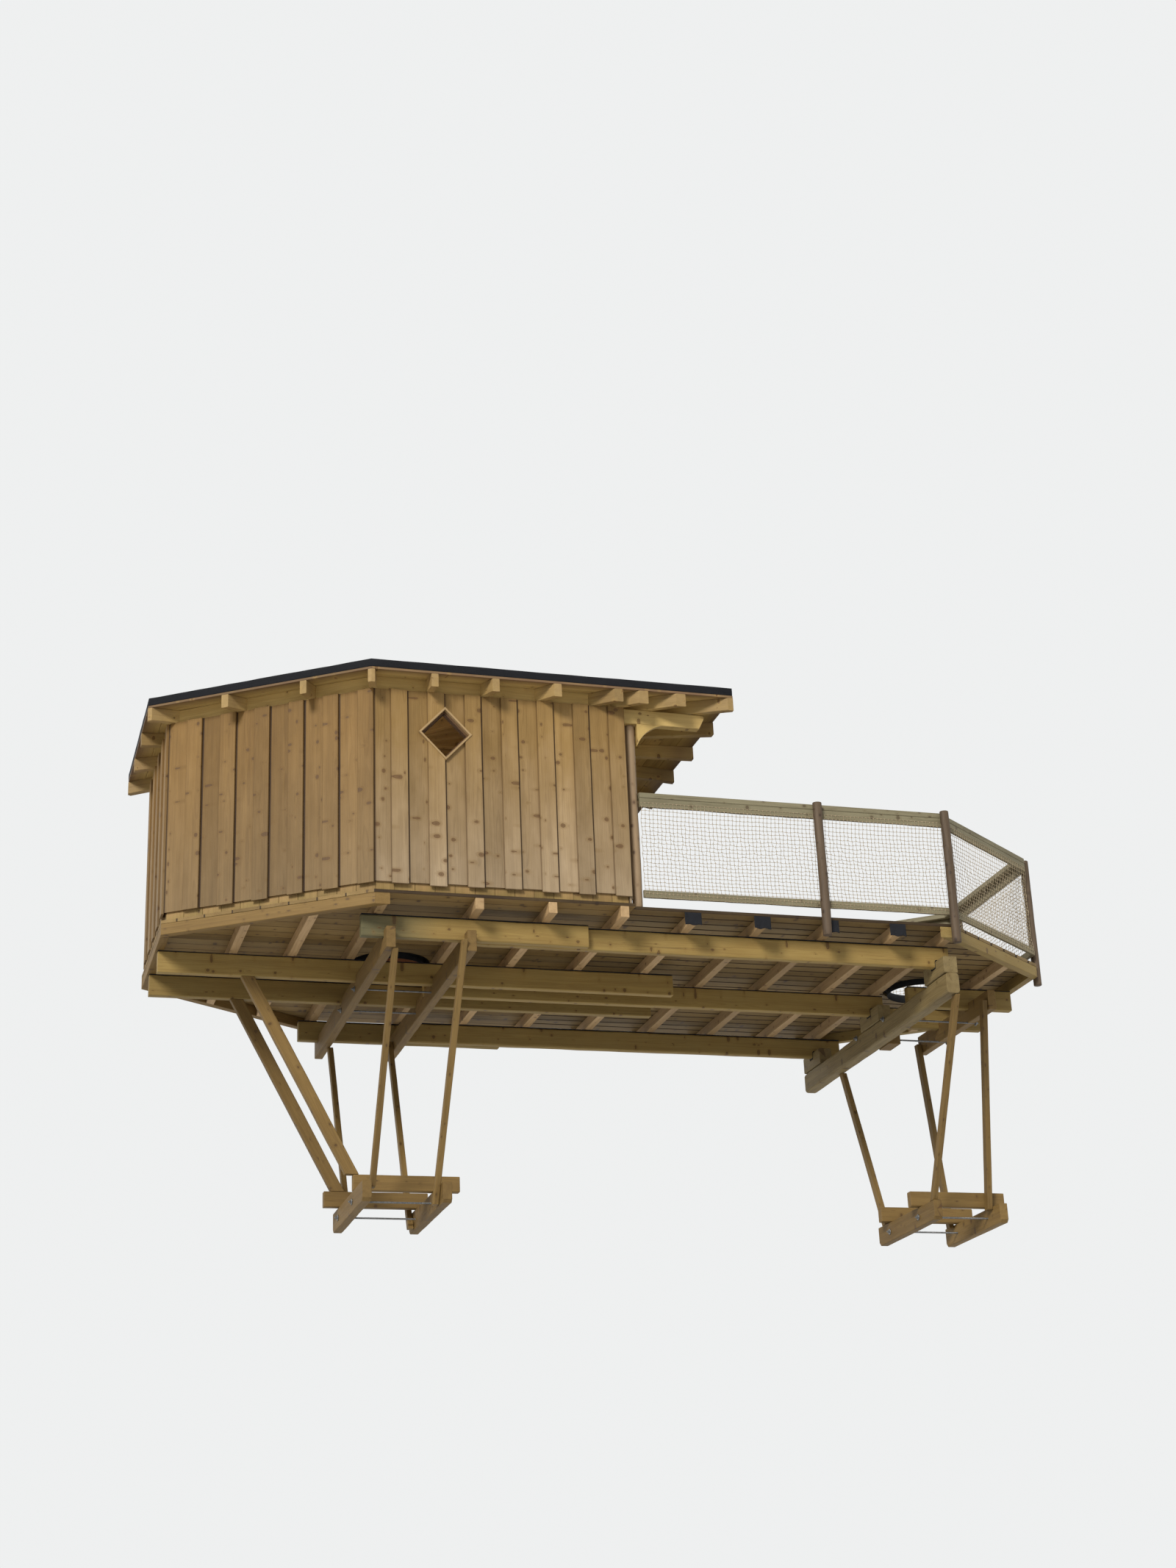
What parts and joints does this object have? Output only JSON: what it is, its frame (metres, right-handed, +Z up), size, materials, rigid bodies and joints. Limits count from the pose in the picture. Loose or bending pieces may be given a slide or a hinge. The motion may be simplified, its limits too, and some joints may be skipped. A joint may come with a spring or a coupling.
{
  "type": "tree house",
  "caption": "Timber tree house clamped between two trunks: an angled cabin with a low hipped roof and a diamond window, and an open deck with a netted railing.",
  "frame": {"origin": "on the back face of the front lower clamp timber of the left trunk, at its mid height and on the axis of that trunk, where the timber bears on it", "axes": "+X along the front from the cabin to the open deck, +Y away from the front, +Z up"},
  "size_m": [8.298, 4.096, 4.5815],
  "materials": {
    "spruce_beam": "sawn",
    "spruce_board": "sawn",
    "weathered_wood": "rough, grey with age",
    "black_felt": "matt bitumen felt",
    "black_rubber": "matt",
    "steel": "galvanised",
    "glass": "clear",
    "cord_net": "thin knotted cord"
  },
  "bodies": {
    "root": {"front_clamp_beam": "spruce_beam", "back_clamp_beam": "spruce_beam", "middle_beam": "spruce_beam", "front_beam_left": "spruce_beam", "front_beam_right": "spruce_beam", "back_beam_left": "spruce_beam", "back_beam_right": "spruce_beam", "end_bearers": "spruce_beam", "left_tree_cross_beams": "spruce_beam", "right_tree_cross_beam": "spruce_beam", "bearing_beam": "spruce_beam", "bearing_packing": "spruce_beam", "bearing_saddles": "spruce_beam", "saddle_liners": "black_rubber", "lower_clamp_blocks": "spruce_beam", "lower_clamp_timbers": "spruce_beam", "left_tree_struts": "spruce_beam", "right_tree_struts": "spruce_beam", "side_struts": "spruce_beam", "upper_clamp_rods": "steel", "lower_clamp_rods": "steel", "beam_felt": "black_felt", "joist_end_caps": "black_felt", "cabin_joists": "spruce_beam", "deck_joists": "spruce_beam", "cabin_rim_beams": "spruce_beam", "deck_rim_beams": "spruce_beam", "cabin_floor": "spruce_board", "deck_floor": "spruce_board", "trunk_collars": "black_rubber", "front_wall": "spruce_board", "front_left_wall": "spruce_board", "left_wall": "spruce_board", "back_left_wall": "spruce_board", "back_wall": "spruce_board", "door_wall_sides": "spruce_board", "door_wall_head": "spruce_board", "window_frame": "spruce_board", "window_pane": "glass", "top_plates": "spruce_beam", "rafters": "spruce_beam", "hip_rafters": "spruce_beam", "roof_boards": "spruce_board", "roof_felt": "black_felt", "eave_kerb": "black_felt", "porch_posts": "weathered_wood", "porch_braces": "spruce_beam", "rail_posts": "weathered_wood", "top_rails": "weathered_wood", "lower_rails": "weathered_wood", "rail_nets": "cord_net"}
  },
  "joints": []
}
